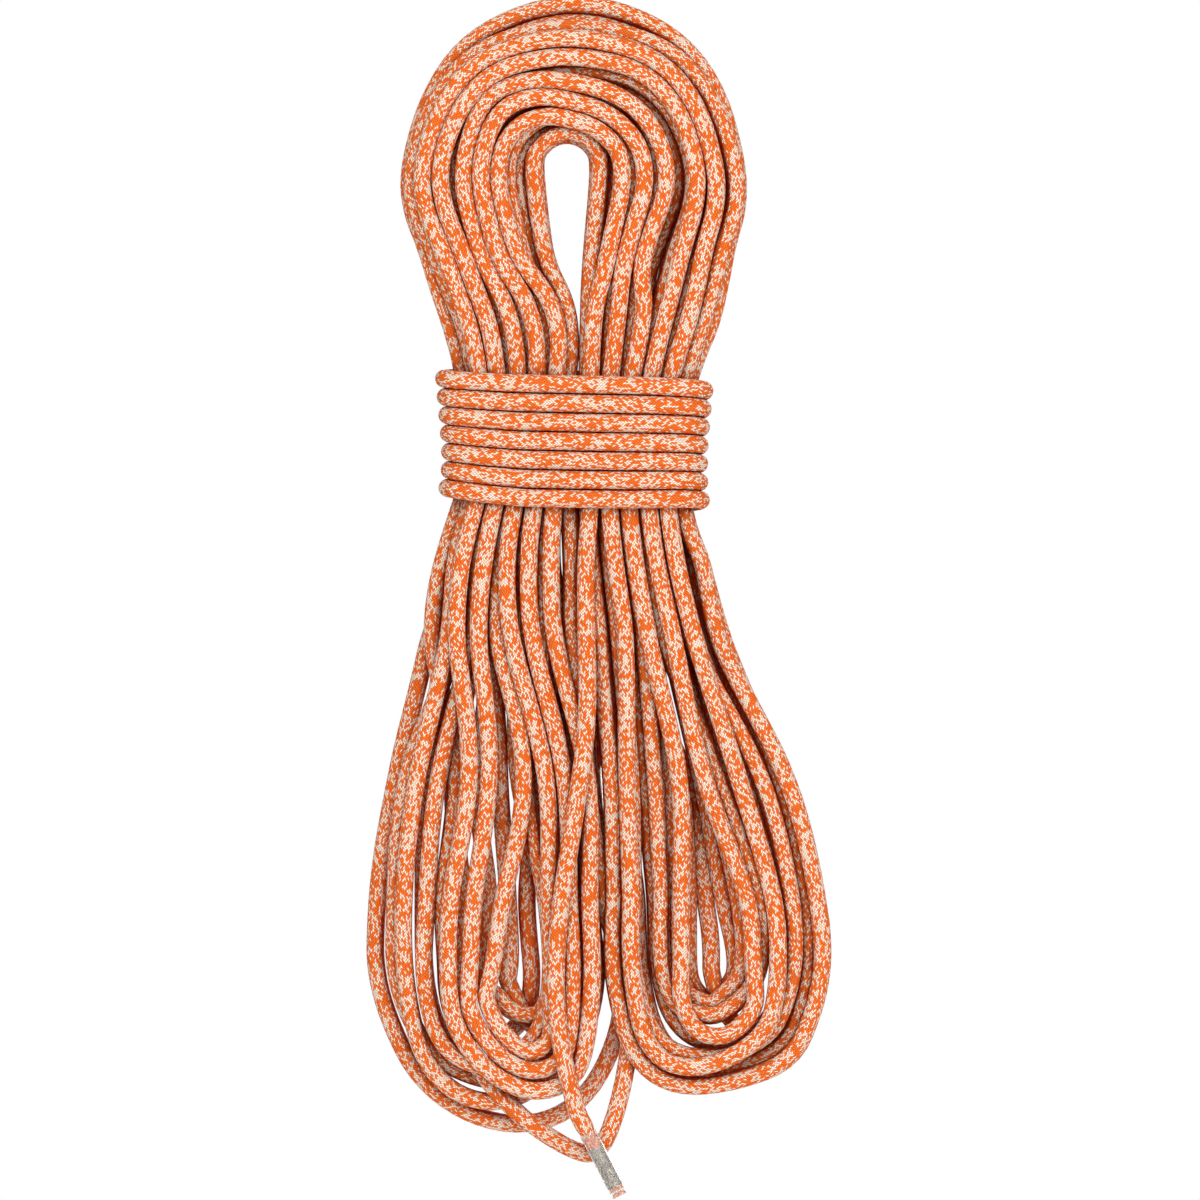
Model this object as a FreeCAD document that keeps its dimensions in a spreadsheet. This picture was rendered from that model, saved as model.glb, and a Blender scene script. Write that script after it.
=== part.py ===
import FreeCAD, Part

import math
import os

from FreeCAD import Vector

# Dynamic climbing rope in a mountaineer's coil, held up by the eye at its top, in millimetres.
# The origin is the inside top of the eye. +X is right and +Z is up as the coil is seen from the front,
# which is -Y. The rope is one kernmantle line: a round core inside a hollow woven sheath. It is made
# in the order in which it is coiled: front tail, hank, waist wrap, back tail.

os.makedirs("parts", exist_ok=True)
doc = FreeCAD.newDocument("climbing_rope")

# Driving sizes
DIMENSIONS = {
    "rope_diameter": 9.0,
    "sheath_wall": 1.0,
    "core_clearance": 0.3,
    "channel_clearance": 0.3,
    "layer_gap": 0.62,
    "waist_lane_gap": 0.92,
    "waist_inside_overlap": 3.8,
    "waist_centre": 4.0,
    "waist_top": -116.5,
    "waist_foot": -181.5,
    "arch_radius": 83.0,
    "arch_centre_across": 3.5,
    "arch_centre_height": -15.0,
    "eye_bend_radius": 13.5,
    "eye_centre_height": -13.5,
    "wrap_turn_gap": 0.45,
    "wrap_middle_height": -148.0,
    "wrap_clearance": 1.5,
    "wrap_corner_radius": 13.0,
    "back_tail_across": 25.0,
    "tail_lead": 17.0,
    "sleeve_length": 35.0,
    "sleeve_wall": 0.35,
    "sleeve_clearance": 0.1,
    "pressed_diameter": 7.2,
    "neck_length": 3.0,
    "label_length": 22.0,
    "label_wall": 0.15,
    "label_clearance": 0.1,
    "label_from_end": 5.0,
    "tip_length": 2.0,
    "tip_rounding": 1.0,
}
sheet = doc.addObject("Spreadsheet::Sheet", "Dimensions")
for row, (alias, value) in enumerate(DIMENSIONS.items(), start=1):
    sheet.set(f"A{row}", alias)
    sheet.set(f"B{row}", str(value))
    sheet.setAlias(f"B{row}", alias)
doc.recompute()


def size(alias):
    """The value of a named cell of the sheet."""
    return float(getattr(sheet, alias))


# How the hank is wound: counts, not sizes
LAYERS = 4
LOOPS_PER_LAYER = 3
LANES = 2 * LOOPS_PER_LAYER
WRAP_TURNS = 7

rope_radius = size("rope_diameter") / 2
bore_radius = rope_radius - size("sheath_wall")
core_radius = bore_radius - size("core_clearance")
layer_step = size("rope_diameter") + size("layer_gap")
lane_step = size("rope_diameter") + size("waist_lane_gap")
wrap_step = size("rope_diameter") + size("wrap_turn_gap")
front_layer = -layer_step * (LAYERS - 1) / 2
outside_layer = layer_step * (LAYERS + 1) / 2


# Lanes across each leg of the hank: lane 0 runs on its outside and lane 6 along the eye.
# A rung is (height, left outside, left inside, right inside, right outside).
# The legs' inside edges lie nearer than a rope's thickness, because no loop runs right on them at the waist.
middle_gap = size("rope_diameter") - size("waist_inside_overlap")
left_inside = size("waist_centre") - middle_gap / 2
right_inside = size("waist_centre") + middle_gap / 2
leg_width = LANES * lane_step
arch_left = size("arch_centre_across") - size("arch_radius")
arch_right = size("arch_centre_across") + size("arch_radius")
RUNGS = [
    (size("arch_centre_height"), arch_left, -size("eye_bend_radius"), size("eye_bend_radius"), arch_right),
    (-60.5, -69.8, -4.0, 9.5, 80.0),
    (-88.0, -61.0, 0.2, 7.5, 73.5),
    (size("waist_top"), left_inside - leg_width, left_inside, right_inside, right_inside + leg_width),
    (size("waist_foot"), left_inside - leg_width, left_inside, right_inside, right_inside + leg_width),
    (-209.0, -62.5, 1.2, 7.2, 67.0),
    (-249.0, -69.5, 3.0, 12.0, 79.0),
]

# The lobes: a place on the outermost loop and the same place on the innermost, down the outer arm,
# round the bottom and up the inner arm.
LEFT_LOBE = [
    ((-84.5, -319.0), (-52.5, -319.0)),
    ((-92.5, -379.0), (-56.5, -379.0)),
    ((-88.0, -429.0), (-53.5, -421.5)),
    ((-66.0, -471.0), (-48.5, -438.0)),
    ((-31.0, -491.0), (-36.5, -446.0)),
    ((3.0, -474.0), (-24.5, -438.0)),
    ((13.0, -429.0), (-19.5, -421.5)),
    ((12.5, -379.0), (-19.5, -379.0)),
    ((10.5, -319.0), (-20.5, -319.0)),
]
RIGHT_LOBE = [
    ((111.0, -319.0), (78.0, -319.0)),
    ((123.5, -379.0), (91.0, -379.0)),
    ((124.5, -421.5), (92.0, -411.5)),
    ((106.5, -458.0), (87.5, -428.0)),
    ((70.0, -472.5), (75.5, -436.5)),
    ((36.5, -460.0), (63.5, -428.0)),
    ((24.5, -421.5), (58.5, -411.5)),
    ((24.0, -379.0), (57.5, -379.0)),
    ((21.5, -319.0), (54.5, -319.0)),
]

# Where the two arms of each lobe's innermost loop part below the waist
LEFT_PARTING = (-34.9, -276.5)
RIGHT_PARTING = (56.4, -285.5)

LEFT_BOTTOM = 4
RIGHT_BOTTOM = 4
CLIMB_FROM = 0.02
CLIMB_TO = 0.11
HANK_LAST = 5
EDGE_ROUNDING = 0.96


def rung_pair(rung, side, lane):
    """The outermost and innermost loops' places where they cross a rung, in the given lane of one leg."""
    height, left_out, left_in, right_in, right_out = rung
    outer, inner = (left_out, left_in) if side == "left" else (right_out, right_in)
    edge = outer if lane == 0 else inner
    return (edge, height), ((outer + inner) / 2, height)


def arch_pair(angle, lane):
    """The outermost and innermost loops' places on the arch at an angle from +X."""
    across, up = math.cos(math.radians(angle)), math.sin(math.radians(angle))
    outer = (
        size("arch_centre_across") + size("arch_radius") * across,
        size("arch_centre_height") + size("arch_radius") * up,
    )
    inner = (
        size("eye_bend_radius") * across,
        size("eye_centre_height") + size("eye_bend_radius") * up,
    )
    middle = ((outer[0] + inner[0]) / 2, (outer[1] + inner[1]) / 2)
    return (outer if lane == 0 else inner), middle


def loop_stations():
    """One loop of the hank, from the bottom of the left lobe up and over the arch, round the right lobe,
    back over the eye side of the arch and down to the bottom of the left lobe."""
    up_left = [rung_pair(rung, "left", 0) for rung in reversed(RUNGS)]
    over = [arch_pair(angle, 0) for angle in (135, 90, 45)]
    down_right = [rung_pair(rung, "right", 0) for rung in RUNGS]
    up_right = [rung_pair(rung, "right", LANES) for rung in reversed(RUNGS)]
    back_over = [arch_pair(angle, LANES) for angle in (45, 90, 135)]
    down_left = [rung_pair(rung, "left", LANES) for rung in RUNGS]
    outwards = LEFT_LOBE[LEFT_BOTTOM::-1] + up_left + over + down_right + RIGHT_LOBE[:RIGHT_BOTTOM]
    inwards = RIGHT_LOBE[RIGHT_BOTTOM:] + up_right + back_over + down_left + LEFT_LOBE[:LEFT_BOTTOM:-1]
    return outwards, inwards


def lengths_along(stations):
    """The length up to each station and up to the last, as the mean of the outermost and innermost loops."""
    lengths = [0.0]
    for here, there in zip(stations, stations[1:]):
        lengths.append(lengths[-1] + sum(math.dist(here[k], there[k]) for k in (0, 1)) / 2)
    return lengths


def steady_shares(outwards, inwards):
    """How far round the loop each station lies, from 0 to 1, at a rate that is alike out and back, so
    that neighbouring lanes of a leg stay one step apart."""
    there = lengths_along(outwards + inwards[:1])
    back = lengths_along(outwards[:1] + inwards[::-1])
    half = [(a / there[-1] + b / back[-1]) / 4 for a, b in zip(there, back)]
    return half[:-1] + [1 - share for share in half[:0:-1]]


def climb_done(share):
    """How much of its step to the next layer the rope has climbed, at a share of the loop past the
    bottom of the left lobe: it climbs along the lobe's outer arm."""
    reach = min(1.0, max(0.0, (share - CLIMB_FROM) / (CLIMB_TO - CLIMB_FROM)))
    return reach * reach * (3 - 2 * reach)


def hank_points():
    """The hank's route. It spirals in and out again at a steady rate, one layer after another, and
    climbs a layer where the spiral reverses, along the outer arm of the left lobe."""
    outwards, inwards = loop_stations()
    stations = outwards + inwards
    shares = steady_shares(outwards, inwards)
    first = len(outwards) + inwards.index(rung_pair(RUNGS[4], "right", LANES))
    points = []
    for loop in range(LAYERS * LOOPS_PER_LAYER + 1):
        for index, (outermost, innermost) in enumerate(stations):
            if loop == 0 and index < first or loop == LAYERS * LOOPS_PER_LAYER and index > HANK_LAST:
                continue
            wound = loop + shares[index]
            layer, depth = divmod(wound, LOOPS_PER_LAYER)
            inward = depth if layer % 2 == 0 else LOOPS_PER_LAYER - depth
            if layer == LAYERS:
                inward = 0.0
            risen = layer - 1 + climb_done(depth) if layer else 0.0
            part = inward / LOOPS_PER_LAYER
            across = outermost[0] + part * (innermost[0] - outermost[0])
            height = outermost[1] + part * (innermost[1] - outermost[1])
            points.append(Vector(across, front_layer + layer_step * risen, height))
    return points


def tangents_of(points, first=None, last=None):
    """At each point, the direction of the circle through it and its two neighbours."""
    found = []
    for index in range(1, len(points) - 1):
        before = points[index] - points[index - 1]
        after = points[index + 1] - points[index]
        ratio = after.Length / before.Length
        found.append((before * ratio + after * (1 / ratio)).normalize())
    start = first or (points[1] - points[0])
    end = last or (points[-1] - points[-2])
    return [Vector(start).normalize()] + found + [Vector(end).normalize()]


def arc_or_line(start, heading, end, backwards=False):
    """The arc that leaves start along heading and reaches end, or a line where it hardly bends. It is
    drawn from end to start if backwards."""
    chord = end - start
    sideways = chord - heading * chord.dot(heading)
    if sideways.Length < 1e-7 * chord.Length:
        return Part.LineSegment(end, start) if backwards else Part.LineSegment(start, end)
    radius = chord.Length ** 2 / (2 * sideways.Length)
    centre = start + Vector(sideways).normalize() * radius
    outwards = (start + chord * 0.5) - centre
    middle = centre + outwards.normalize() * radius
    return Part.Arc(end, middle, start) if backwards else Part.Arc(start, middle, end)


def biarc(start, heading, end, leaving):
    """Two arcs that join smoothly, from start along heading to end along leaving."""
    chord = end - start
    both = heading + leaving
    bend = 2 * (1 - heading.dot(leaving))
    if bend < 1e-9:
        reach = chord.dot(chord) / (2 * chord.dot(both))
    else:
        along = chord.dot(both)
        reach = (math.sqrt(along * along + bend * chord.dot(chord)) - along) / bend
    joint = (start + heading * reach + end - leaving * reach) * 0.5
    return [arc_or_line(start, heading, joint), arc_or_line(end, leaving * -1, joint, backwards=True)]


def biarc_path(points, headings):
    """The edges through the points, two arcs from each to the next."""
    edges = []
    for index in range(len(points) - 1):
        pair = biarc(points[index], headings[index], points[index + 1], headings[index + 1])
        edges += [curve.toShape() for curve in pair]
    return edges


def straight_edge(start, end):
    """A straight edge from one point to another."""
    return Part.LineSegment(start, end).toShape()


def rounded_path(points):
    """Straight runs joined by the largest tangent arcs that they allow, and the arcs' radii."""
    edges = []
    radii = []
    at = points[0]
    for index in range(1, len(points) - 1):
        corner = points[index]
        before = corner - points[index - 1]
        after = points[index + 1] - corner
        turn = before.getAngle(after)
        cut = 0.45 * min(before.Length, after.Length)
        radii.append(cut / math.tan(turn / 2))
        start = corner - Vector(before).normalize() * cut
        end = corner + Vector(after).normalize() * cut
        edges.append(straight_edge(at, start))
        edges.append(arc_or_line(start, Vector(before).normalize(), end).toShape())
        at = end
    edges.append(straight_edge(at, points[-1]))
    return edges, radii


def ring(at, direction, radius):
    """A closed circle, square to a direction."""
    return Part.Wire([Part.Circle(at, direction, radius).toShape()])


def ends_of(path):
    """The first and last points of a path, and its direction there."""
    first, last = path.OrderedEdges[0], path.OrderedEdges[-1]
    start, end = path.OrderedVertexes[0].Point, path.OrderedVertexes[-1].Point
    found = []
    for edge, point in ((first, start), (last, end)):
        low, high = edge.ParameterRange
        parameter = low if edge.valueAt(low).distanceToPoint(point) < 1e-6 else high
        found.append((point, edge.tangentAt(parameter)))
    return found


def tube_wall(path, radius):
    """The faces of a round wall along a path."""
    at, direction = ends_of(path)[0]
    return path.makePipeShell([ring(at, direction, radius)], False, False).Faces


def closed_solid(faces):
    """One solid from faces that close a space."""
    solid = Part.Solid(Part.Shell(faces))
    if solid.Volume < 0:
        solid.reverse()
    return solid


def solid_tube(path, radius):
    """A round bar along a path."""
    caps = [Part.Face(ring(at, direction, radius)) for at, direction in ends_of(path)]
    return closed_solid(tube_wall(path, radius) + caps)


def hollow_tube(path, radius, bore):
    """A pipe along a path, open at both ends."""
    caps = []
    for at, direction in ends_of(path):
        rims = [ring(at, direction, radius), ring(at, direction, bore)]
        caps.append(Part.makeFace(rims, "Part::FaceMakerBullseye"))
    inside = [face.reversed() for face in tube_wall(path, bore)]
    return closed_solid(tube_wall(path, radius) + inside + caps)


def points_along(path, step=3.0):
    """Points along a path, evenly spaced."""
    return path.discretize(Number=max(2, round(path.Length / step)))


def least_gap(points, radius):
    """The least gap between a rope and itself, measured on points along it, past its own near bends."""
    cell = 4 * radius
    boxes = {}
    run = 0.0
    for before, point in zip(points[:1] + points, points):
        run += point.distanceToPoint(before)
        key = tuple(math.floor(value / cell) for value in point)
        boxes.setdefault(key, []).append((point, run))
    past_bend = 4.5 * math.pi * radius
    closest = math.inf
    around = (-1, 0, 1)
    for (i, j, k), here in boxes.items():
        keys = [(i + a, j + b, k + c) for a in around for b in around for c in around]
        near = [entry for key in keys for entry in boxes.get(key, [])]
        for point, at in here:
            for other, there in near:
                if there - at > past_bend:
                    closest = min(closest, point.distanceToPoint(other))
    return closest - 2 * radius


def closed_outline(points, headings, sideways):
    """A closed wire through points that are moved sideways, to the left of their headings."""
    moved = [point + Vector(-way.z, 0, way.x) * sideways for point, way in zip(points, headings)]
    return Part.Wire(biarc_path(moved + moved[:1], headings + headings[:1]))


def outline_of(lanes_in):
    """The closed line through the loop's stations, some lanes further in than the outermost loop, and
    its headings. lanes_in gives the lanes at a share of the loop."""
    outwards, inwards = loop_stations()
    points = []
    for (outermost, innermost), share in zip(outwards + inwards, steady_shares(outwards, inwards)):
        part = lanes_in(share) / LOOPS_PER_LAYER
        across = outermost[0] + part * (innermost[0] - outermost[0])
        height = outermost[1] + part * (innermost[1] - outermost[1])
        points.append(Vector(across, 0, height))
    return points, tangents_of(points[-1:] + points + points[:1])[1:-1]


def lobe_hole(points, headings, parting, sideways):
    """The wire round the space inside a lobe's innermost loop, which ends in a point where its arms part."""
    tip = Vector(parting[0], 0, parting[1])
    across = (points[-1] - points[0]) * (1 if points[-1].x > points[0].x else -1)
    return closed_outline(points + [tip], headings + [across.normalize()], sideways)


def hank_body(reach):
    """The hank's outer shape as if its rope had this radius: a thick plate along all its loops, with
    rounded edges, the eye open between its legs and a hole in each lobe."""
    outer, outer_headings = outline_of(lambda share: min(share, 1 - share))
    inner, inner_headings = outline_of(lambda share: max(LOOPS_PER_LAYER - 1 + share, LOOPS_PER_LAYER - share))
    outwards, _ = loop_stations()
    left_half, right_half = LEFT_BOTTOM + 1, len(LEFT_LOBE) - LEFT_BOTTOM - 1
    right_first = len(outwards) - RIGHT_BOTTOM
    right_places = slice(right_first, right_first + len(RIGHT_LOBE))
    left_points = inner[-right_half:] + inner[:left_half]
    left_headings = inner_headings[-right_half:] + inner_headings[:left_half]
    wires = [
        closed_outline(outer, outer_headings, reach),
        lobe_hole(left_points, left_headings, LEFT_PARTING, -reach),
        lobe_hole(inner[right_places], inner_headings[right_places], RIGHT_PARTING, -reach),
    ]
    half_depth = reach - front_layer
    face = Part.makeFace(wires, "Part::FaceMakerBullseye")
    face.translate(Vector(0, -half_depth, 0))
    plate = face.extrude(Vector(0, 2 * half_depth, 0))
    rims = [edge for edge in plate.Edges if abs(abs(edge.CenterOfMass.y) - half_depth) < 1e-6]
    return plate.makeFillet(EDGE_ROUNDING * reach, rims).fuse(pressed_waist(reach))


def pressed_waist(reach):
    """A block that joins the legs where the wrap presses them together, as deep as their rounded edges allow."""
    skin = rope_radius - reach
    half_depth = reach - front_layer - EDGE_ROUNDING * rope_radius
    width = 2 * size("rope_diameter")
    height = size("waist_top") - size("waist_foot") - 2 * skin
    corner = Vector(size("waist_centre") - width / 2, -half_depth, size("waist_foot") + skin)
    return Part.makeBox(width, 2 * half_depth, height, corner)


# The hank, which starts straight up from the front tail
hank_route = hank_points()
hank_start = hank_route[0] - Vector(0, 0, size("rope_diameter"))
hank_headings = tangents_of(hank_route, first=Vector(0, 0, 1))
hank_end = hank_route[-1] + hank_headings[-1] * size("rope_diameter")
hank_edges = [straight_edge(hank_start, hank_route[0])]
hank_edges += biarc_path(hank_route, hank_headings)
hank_edges += [straight_edge(hank_route[-1], hank_end)]
hank_path = Part.Wire(hank_edges)

# The waist wrap: its turns go round the hank's outermost strands at the waist
waist_strands = [p for p in hank_route if size("waist_foot") <= p.z <= size("waist_top")]
wrap_reach = size("rope_diameter") + size("wrap_clearance")
wrap_left = min(p.x for p in waist_strands) - wrap_reach
wrap_right = max(p.x for p in waist_strands) + wrap_reach
wrap_front = min(p.y for p in waist_strands) - wrap_reach
wrap_back = max(p.y for p in waist_strands) + wrap_reach
wrap_hump = outside_layer + wrap_reach


def turn_stations():
    """One turn of the wrap seen from above, from the hump over the back tail, with the heading at each
    place: behind to the right, forwards, in front to the left, back, and behind to the hump again."""
    bend = size("wrap_corner_radius")
    hump = size("back_tail_across")
    return [
        (hump, wrap_hump, 1, 0),
        (wrap_right - bend, wrap_back, 1, 0),
        (wrap_right, wrap_back - bend, 0, -1),
        (wrap_right, wrap_front + bend, 0, -1),
        (wrap_right - bend, wrap_front, -1, 0),
        (wrap_left + bend, wrap_front, -1, 0),
        (wrap_left, wrap_front + bend, 0, 1),
        (wrap_left, wrap_back - bend, 0, 1),
        (wrap_left + bend, wrap_back, 1, 0),
    ]


def wrap_route():
    """The wrap's points and headings, rising steadily turn by turn."""
    stations = turn_stations()
    lengths = [0.0]
    for here, there in zip(stations, stations[1:] + stations[:1]):
        lengths.append(lengths[-1] + math.dist(here[:2], there[:2]))
    slope = wrap_step / lengths[-1]
    foot = size("wrap_middle_height") - wrap_step * WRAP_TURNS / 2
    points, headings = [], []
    for turn in range(WRAP_TURNS):
        for station, length in zip(stations, lengths):
            across, back, run, turned = station
            points.append(Vector(across, back, foot + turn * wrap_step + slope * length))
            headings.append(Vector(run, turned, slope).normalize())
    return points, headings


wrap_points, wrap_headings = wrap_route()
wrap_start = hank_end + hank_headings[-1] * size("rope_diameter")
wrap_end = wrap_points[-1] + wrap_headings[-1] * size("rope_diameter")
approach = [wrap_start, Vector(-63.0, wrap_back, -209.0), Vector(-38.0, wrap_back, -184.0)]
approach_headings = [hank_headings[-1], Vector(0.08, 0, 1).normalize(), Vector(1, 0, 0.03).normalize()]
wrap_edges = [straight_edge(hank_end, wrap_start)]
wrap_edges += biarc_path(approach + wrap_points, approach_headings + wrap_headings)
wrap_edges += [straight_edge(wrap_points[-1], wrap_end)]
wrap_path = Part.Wire(wrap_edges)


# The tails: the points where the rope bends on its way from the coil to each end, which is the last one.
# A point is (across, how far outside the layer next to the hank, height).
FRONT_TAIL = [
    (13.5, -6.55, -238.0),
    (12.0, -1.05, -288.0),
    (5.0, 0.95, -340.0),
    (-4.0, 1.45, -391.0),
    (-5.0, 1.45, -438.0),
    (4.0, 1.45, -482.0),
    (26.5, 1.45, -525.5),
]
BACK_TAIL = [
    (-11.0, 0.55, -113.0),
    (9.0, 0.15, -120.0),
    (22.0, 0.0, -137.0),
    (size("back_tail_across"), 0.0, -168.0),
    (20.0, 0.95, -209.0),
    (14.0, 1.45, -255.0),
    (12.5, 1.95, -303.0),
    (15.0, 2.45, -349.0),
]


class Tail:
    """One end of the rope, from where it leaves the coil to its very end."""

    def __init__(self, start, leaving, route, side):
        points = [start, start + leaving * size("tail_lead")]
        points += [Vector(across, side * (outside_layer + out), height) for across, out, height in route]
        self.heading = (points[-1] - points[-2]).normalize()
        self.end = points[-1]
        self.neck = self.end - self.heading * (size("sleeve_length") + size("neck_length"))
        edges, self.radii = rounded_path(points[:-1] + [self.neck])
        self.path = Part.Wire(edges)

    def bar(self, radius, pressed_radius):
        """A round bar along the tail that narrows at the neck and runs on, pressed, to the tip."""
        pressed_start = self.neck + self.heading * size("neck_length")
        pressed_length = size("sleeve_length") - size("tip_length")
        neck = Part.makeCone(radius, pressed_radius, size("neck_length"), self.neck, self.heading)
        pressed = Part.makeCylinder(pressed_radius, pressed_length, pressed_start, self.heading)
        return solid_tube(self.path, radius).multiFuse([neck, pressed]).removeSplitter().Solids[0]

    def placement(self):
        """A placement at the very end whose +Z runs back along the rope."""
        return FreeCAD.Placement(self.end, FreeCAD.Rotation(Vector(0, 0, 1), self.heading * -1))


pressed_radius = size("pressed_diameter") / 2
pressed_bore = pressed_radius - size("sheath_wall")
pressed_core = pressed_bore - size("core_clearance")
front_tail = Tail(hank_start, Vector(0, 0, -1), FRONT_TAIL, -1)
back_tail = Tail(wrap_end, wrap_headings[-1], BACK_TAIL, 1)
finished = []


def keep(name, shape):
    """Puts a finished shape into the document under its node's name."""
    feature = doc.addObject("Part::Feature", name)
    feature.Label = name
    feature.Shape = shape
    feature.Placement = FreeCAD.Placement()
    finished.append(feature)
    return feature


def hank_solid(reach):
    """The hank's outer shape, with its last stretch that climbs out to the wrap, and with the channel
    in which the front tail leaves it. Reach is the rope's radius, or less for what is inside."""
    channel_radius = 2 * rope_radius + size("channel_clearance") - reach
    channel = solid_tube(front_tail.path, channel_radius)
    channel_top = Part.makeCylinder(channel_radius, rope_radius - reach + 1e-3, hank_start, Vector(0, 0, 1))
    body = hank_body(reach).fuse(solid_tube(last_stretch, reach)).cut(channel)
    return (body.cut(channel_top) if reach < rope_radius else body).Solids[0]


# The hank: the sheath as a skin round its outer shape, and the core that fills it
last_edges = 2 * HANK_LAST + 1
last_stretch = Part.Wire(hank_edges[-last_edges:])
keep("hank_sheath", hank_solid(rope_radius).cut(hank_solid(bore_radius)).Solids[0])
keep("hank_core", hank_solid(core_radius))

# The waist wrap: a hollow sheath and the core inside it
keep("waist_wrap_sheath", hollow_tube(wrap_path, rope_radius, bore_radius))
keep("waist_wrap_core", solid_tube(wrap_path, core_radius))

# Free tails: the same rope, pressed thinner inside the end sleeve
for name, tail in (("front_tail", front_tail), ("back_tail", back_tail)):
    outside = tail.bar(rope_radius, pressed_radius)
    bore = tail.bar(bore_radius, pressed_bore)
    keep(f"{name}_sheath", outside.cut(bore).Solids[0])
    keep(f"{name}_core", tail.bar(core_radius, pressed_core))


def cylinder(name, radius, height, base="0"):
    """A cylinder bound to the sheet, standing on +Z at the given height."""
    solid = doc.addObject("Part::Cylinder", name)
    solid.setExpression("Radius", radius)
    solid.setExpression("Height", height)
    solid.setExpression("Placement.Base.z", base)
    return solid


def pipe_piece(name, bore, outside, height, base, placement):
    """A short pipe bound to the sheet, put at a rope end."""
    piece = doc.addObject("Part::Cut", name)
    piece.Label = name
    piece.Base = cylinder(f"{name}_outside", outside, height, base)
    piece.Tool = cylinder(f"{name}_bore", bore, height, base)
    piece.Placement = placement
    finished.append(piece)


LABEL_BORE = "Dimensions.pressed_diameter / 2 + Dimensions.label_clearance"
LABEL_OUTSIDE = LABEL_BORE + " + Dimensions.label_wall"
SLEEVE_BORE = LABEL_OUTSIDE + " + Dimensions.sleeve_clearance"
SLEEVE_OUTSIDE = SLEEVE_BORE + " + Dimensions.sleeve_wall"

# What each rope end carries: a fused tip, a label band and a clear shrunk sleeve over both
for name, tail in (("front", front_tail), ("back", back_tail)):
    place = tail.placement()
    pipe_piece(f"{name}_end_sleeve", SLEEVE_BORE, SLEEVE_OUTSIDE, "Dimensions.sleeve_length", "0", place)
    label_base = "Dimensions.label_from_end"
    pipe_piece(f"{name}_label_band", LABEL_BORE, LABEL_OUTSIDE, "Dimensions.label_length", label_base, place)
    blank = cylinder(f"{name}_tip_blank", "Dimensions.pressed_diameter / 2", "Dimensions.tip_length")
    doc.recompute()
    tip = doc.addObject("Part::Fillet", f"{name}_fused_tip")
    tip.Label = f"{name}_fused_tip"
    tip.Base = blank
    tip.Edges = [(3, size("tip_rounding"), size("tip_rounding"))]
    tip.Placement = place
    finished.append(tip)

doc.recompute()
for item in doc.Objects:
    if "Invalid" in item.State or "Error" in item.State:
        raise RuntimeError(f"{item.Name} failed: {item.State}")
for item in finished:
    if item.Shape.isNull() or not item.Shape.isValid() or len(item.Shape.Solids) != 1:
        raise RuntimeError(f"{item.Label} isn't one valid solid")

# Measures of the route
for name, tail in (("front tail", front_tail), ("back tail", back_tail)):
    print(name, "bend radii in mm:", [round(radius, 1) for radius in tail.radii])
for name, path in (("hank", hank_path), ("waist wrap", wrap_path)):
    radii = [edge.Curve.Radius for edge in path.Edges if hasattr(edge.Curve, "Radius")]
    print(f"{name}: {path.Length / 1000:.3f} m, tightest bend {min(radii):.1f} mm")
rope_length = hank_path.Length + wrap_path.Length
for tail in (front_tail, back_tail):
    rope_length += tail.path.Length + size("neck_length") + size("sleeve_length")
print(f"whole rope: {rope_length / 1000:.3f} m")
hank_line, wrap_line = points_along(hank_path), points_along(wrap_path)
whole_line = points_along(front_tail.path)[::-1] + hank_line + wrap_line + points_along(back_tail.path)
for name, line in (("hank", hank_line), ("waist wrap", wrap_line), ("whole rope", whole_line)):
    print(f"least gap in the {name}: {least_gap(line, rope_radius):.2f} mm")
for item in finished:
    print(f"{item.Label}: {item.Shape.Volume:.0f} mm3")
for name, path in (("hank", hank_path), ("waist_wrap", wrap_path)):
    print(f"{name} core section times length: {math.pi * core_radius ** 2 * path.Length:.0f} mm3")
for name, tail in (("front_tail", front_tail), ("back_tail", back_tail)):
    pressed_part = size("sleeve_length") - size("tip_length")
    plain = math.pi * core_radius ** 2 * tail.path.Length + math.pi * pressed_core ** 2 * pressed_part
    neck = math.pi * size("neck_length") * (core_radius ** 2 + core_radius * pressed_core + pressed_core ** 2) / 3
    print(f"{name} core section times length: {plain + neck:.0f} mm3")

for item in finished:
    item.Shape.exportStep(f"parts/{item.Label}.step")
print("parts written:", len(finished))
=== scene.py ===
# %% [markdown]
# # A climbing rope in a mountaineer's coil
# The real object is one long kernmantle rope: a bundle of core yarns inside a woven sheath. It is laid
# back and forth in loops, hung by the eye at the top, and wrapped seven times round its waist. This
# lesson builds it around a imported model that is already at its real size, so every length below is in
# metres and every place is in the imported model's own frame. The first step loads that model.

# %% Load the imported model
import math

import bpy
import numpy as np
from mathutils.kdtree import KDTree
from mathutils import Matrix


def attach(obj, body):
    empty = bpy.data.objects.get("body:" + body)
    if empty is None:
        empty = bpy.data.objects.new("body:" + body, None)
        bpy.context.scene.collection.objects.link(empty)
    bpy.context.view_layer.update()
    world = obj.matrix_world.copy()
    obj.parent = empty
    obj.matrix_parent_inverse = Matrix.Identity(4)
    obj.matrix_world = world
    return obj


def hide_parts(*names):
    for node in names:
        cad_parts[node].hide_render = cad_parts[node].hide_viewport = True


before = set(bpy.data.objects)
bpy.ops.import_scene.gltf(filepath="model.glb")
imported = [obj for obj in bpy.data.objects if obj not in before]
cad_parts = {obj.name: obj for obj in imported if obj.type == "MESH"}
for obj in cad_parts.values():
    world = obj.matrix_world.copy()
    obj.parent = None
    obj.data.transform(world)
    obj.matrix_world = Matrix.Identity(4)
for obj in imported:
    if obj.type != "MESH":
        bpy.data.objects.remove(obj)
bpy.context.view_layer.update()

print("packed nodes:", len(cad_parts))

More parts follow.
